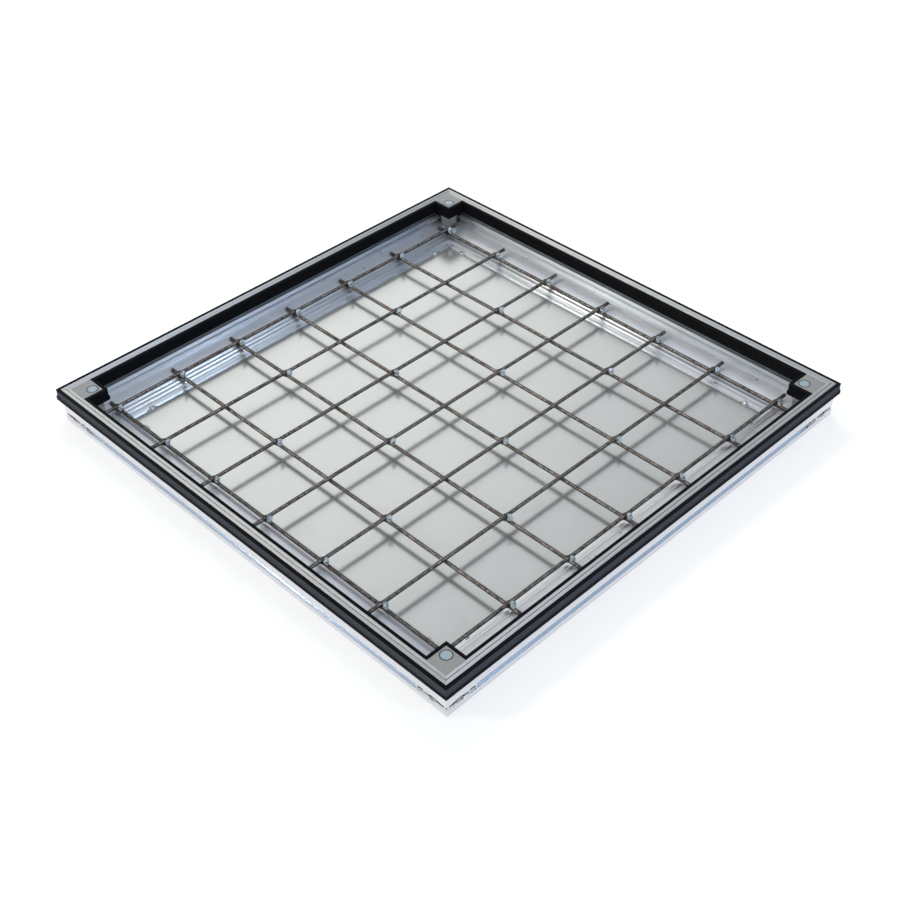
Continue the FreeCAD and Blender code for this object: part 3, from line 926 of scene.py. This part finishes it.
def make_rib():
    """One short rib on top of a bar along X, as a low crescent."""
    deselect_all()
    bpy.ops.mesh.primitive_uv_sphere_add(segments=8, ring_count=6, radius=1)
    rib = bpy.context.object
    rib.scale = (RIB_HALF_WIDTH * MM, RIB_HALF_LENGTH * MM, RIB_HALF_HEIGHT * MM)
    rib.location = (0, 0, (RIB_TOP - RIB_HALF_HEIGHT) * MM)
    settle(rib)
    edit_whole(rib)
    bpy.ops.mesh.bisect(plane_co=(0, 0, RIB_CUT * MM), plane_no=(0, 0, 1), clear_inner=True)
    end_edit()
    return rib


def make_rib_row(row):
    """A row of ribs along the bar. The rows lie evenly round it and lean to and fro."""
    rib = make_rib()
    rib.rotation_euler = (0, 0, math.radians(RIB_LEAN if row % 2 else -RIB_LEAN))
    settle(rib)
    rib.location = ((RIB_START + row * RIB_PITCH / RIB_ROWS) * MM, 0, 0)
    rib.rotation_euler = (math.radians(360 / RIB_ROWS * row + RIB_TURN), 0, 0)
    settle(rib)
    give(rib, finish["rib"])
    apply_modifier(rib, "ARRAY", count=int((BAR_LENGTH - RIB_MARGIN) / RIB_PITCH),
                   use_relative_offset=False, use_constant_offset=True,
                   constant_offset_displace=(RIB_PITCH * MM, 0, 0))
    return rib


def make_bar():
    """A ribbed bar that starts at the origin and runs along X."""
    core = make_rod(CORE_SIDES, CORE_RADIUS, BAR_LENGTH, 0, CORE_PARTS, CORE_CHAMFER)
    give(core, finish["bar"])
    bar = join("ribbed_bar", [core] + [make_rib_row(row) for row in range(RIB_ROWS)])
    smooth(bar, 50)
    return bar


def lay_bar(master, place, start, turn, waver):
    """A copy of the bar, bent a little along a path, laid from its start at a turn about Z."""
    name, node_name = "ribbed_" + place, "mesh_" + place
    bar = copy_of(master, name)
    deselect_all()
    bpy.ops.curve.primitive_nurbs_path_add(radius=1)
    path = bpy.context.object
    spline = path.data.splines[0]
    for i, point in enumerate(spline.points):
        point.co = (BAR_LENGTH * MM * i / (PATH_POINTS - 1), waver[i] * MM, 0, 1)
    spline.use_endpoint_u = True
    apply_modifier(bar, "CURVE", object=path, deform_axis="POS_X")
    delete(path)
    bar.location = [c * MM for c in start]
    bar.rotation_euler = (0, 0, turn)
    settle(bar)
    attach(bar, "root")
    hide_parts(node_name)


chance = random.Random(7)
master_bar = make_bar()
for number, place in enumerate(UPPER_X, 1):
    waver = [chance.uniform(-WAVER, WAVER) for i in range(PATH_POINTS)]
    start = (place, -BAR_LENGTH / 2 + chance.uniform(-SLIP, SLIP), UPPER_Z)
    lay_bar(master_bar, "upper_bar_%d" % number, start, math.pi / 2, waver)
for number, place in enumerate(LOWER_Y, 1):
    waver = [chance.uniform(-WAVER, WAVER) for i in range(PATH_POINTS)]
    start = (LOWER_SHIFT - BAR_LENGTH / 2 + chance.uniform(-SLIP, SLIP), place, LOWER_Z)
    lay_bar(master_bar, "lower_bar_%d" % number, start, 0, waver)
delete(master_bar)


# Wire ties

CONTACT_Z = 17.35
LOOP_RADIUS = 5.5
WIRE_RADIUS = 0.45
WIRES_APART = 0.42
STRAND_RADIUS = 1.85
STRANDS_APART = 1.48
STRAND_SIDES = 8
STRAND_PARTS = 16
STRAND_CHAMFER = (0.3, 0.3)
KNOT_LENGTH = 7.4
KNOT_TWIST = 520
KNOT_IN = (0.3, 1.5)
KNOT_RISE = 0.1
TIE_TURN = 7


def make_loop(shift):
    """One ring of wire round a crossing at the origin, across the diagonal."""
    deselect_all()
    bpy.ops.mesh.primitive_torus_add(
        major_radius=LOOP_RADIUS * MM, minor_radius=WIRE_RADIUS * MM, major_segments=28,
        minor_segments=6, rotation=(math.pi / 2, 0, math.pi / 4))
    loop = bpy.context.object
    loop.location = (shift * math.sqrt(0.5) * MM, -shift * math.sqrt(0.5) * MM, 0)
    settle(loop)
    return loop


def make_knot():
    """Two strands twisted round each other, which start at the origin and run along X."""
    knot = join("knot", [
        make_rod(STRAND_SIDES, STRAND_RADIUS, KNOT_LENGTH, shift, STRAND_PARTS, STRAND_CHAMFER)
        for shift in (-STRANDS_APART, STRANDS_APART)])
    apply_modifier(knot, "SIMPLE_DEFORM", deform_method="TWIST", angle=math.radians(KNOT_TWIST),
                   deform_axis="X")
    return knot


def make_tie():
    """A doubled wire round a crossing at the origin, and its twisted knot."""
    rings = join("loops", [make_loop(shift) for shift in (-WIRES_APART, WIRES_APART)])
    give(rings, finish["loop"])
    knot = make_knot()
    knot.rotation_euler = (0, 0, -math.pi / 4)
    root = LOOP_RADIUS * math.sqrt(0.5)
    knot.location = ((root - KNOT_IN[0]) * MM, (root - KNOT_IN[1]) * MM,
                     (2 * STRAND_RADIUS + KNOT_RISE) * MM)
    settle(knot)
    give(knot, finish["knot"])
    return join("wire_tie", [knot, rings])


def tie_the_mesh():
    """A tie on every outer crossing, and on every second one inside."""
    master = make_tie()
    smooth(master, 60)
    ties = []
    last = len(UPPER_X) - 1
    for i, x in enumerate(UPPER_X):
        for j, y in enumerate(LOWER_Y):
            outer = i in (0, last) or j in (0, last)
            if outer or (i + last - j) % 2 == 1:
                tie = copy_of(master, "tie_%d_%d" % (i, j))
                tie.rotation_euler = (0, 0, math.radians(chance.uniform(-TIE_TURN, TIE_TURN)))
                tie.location = (x * MM, y * MM, CONTACT_Z * MM)
                settle(tie)
                ties.append(tie)
    delete(master)
    whole = join("wire_ties", ties)
    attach(whole, "root")
    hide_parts("mesh_ties")


tie_the_mesh()


# Weld drops that hold the sides' flanges to the sheet

FLANGE_IN = 288.8
WELD_PLACE = 259.5
SHEET_TOP = 1.6
DROP_SHAPE = (1.0, 1.25, 0.72)
DROP_RISE = 0.2
SCORCH_HEIGHT = 0.6

# The middle drop of a run: how far it lies from the flange, and its size
MIDDLE_DROP = (0.6, 3.9)

# The least and the most for the drops beside it: step along the flange, place and size
DROP_STEP = (3.5, 6.5)
DROP_ASIDE = (-0.6, 1.4)
DROP_SIZE = (1.5, 2.7)


def make_bead(offsets):
    """A short run of weld drops on the sheet, at the right-hand side's flange."""
    drops = []
    for along, aside, size in offsets:
        deselect_all()
        bpy.ops.mesh.primitive_uv_sphere_add(segments=16, ring_count=10, radius=1)
        drop = bpy.context.object
        drop.scale = [share * size * MM for share in DROP_SHAPE]
        drop.location = ((FLANGE_IN + aside) * MM, along * MM, (SHEET_TOP + DROP_RISE) * MM)
        settle(drop)
        drops.append(drop)
    bead = join("weld_bead", drops)
    edit_whole(bead)
    bpy.ops.mesh.bisect(plane_co=(0, 0, SHEET_TOP * MM), plane_no=(0, 0, 1), clear_inner=True,
                        use_fill=True)
    end_edit()
    give(bead, finish["weld"], finish["scorch"])
    for face in bead.data.polygons:
        face.material_index = int(face.center.z < (SHEET_TOP + SCORCH_HEIGHT) * MM)
    return bead


def weld_the_flanges():
    """Two short runs of drops on each side, no two alike."""
    beads = []
    for quarter in range(4):
        for end in (-1, 1):
            middle = end * WELD_PLACE
            offsets = [(middle, *MIDDLE_DROP)]
            for step in (-1, 1):
                offsets.append((middle + step * chance.uniform(*DROP_STEP),
                                chance.uniform(*DROP_ASIDE), chance.uniform(*DROP_SIZE)))
            bead = make_bead(offsets)
            bead.rotation_euler = (0, 0, quarter * math.pi / 2)
            settle(bead)
            beads.append(bead)
    whole = join("weld_spots", beads)
    smooth(whole, 60)
    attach(whole, "root")


weld_the_flanges()


place_camera()
lay_floor()
light_the_studio()
bpy.context.scene.view_settings.view_transform = "Standard"
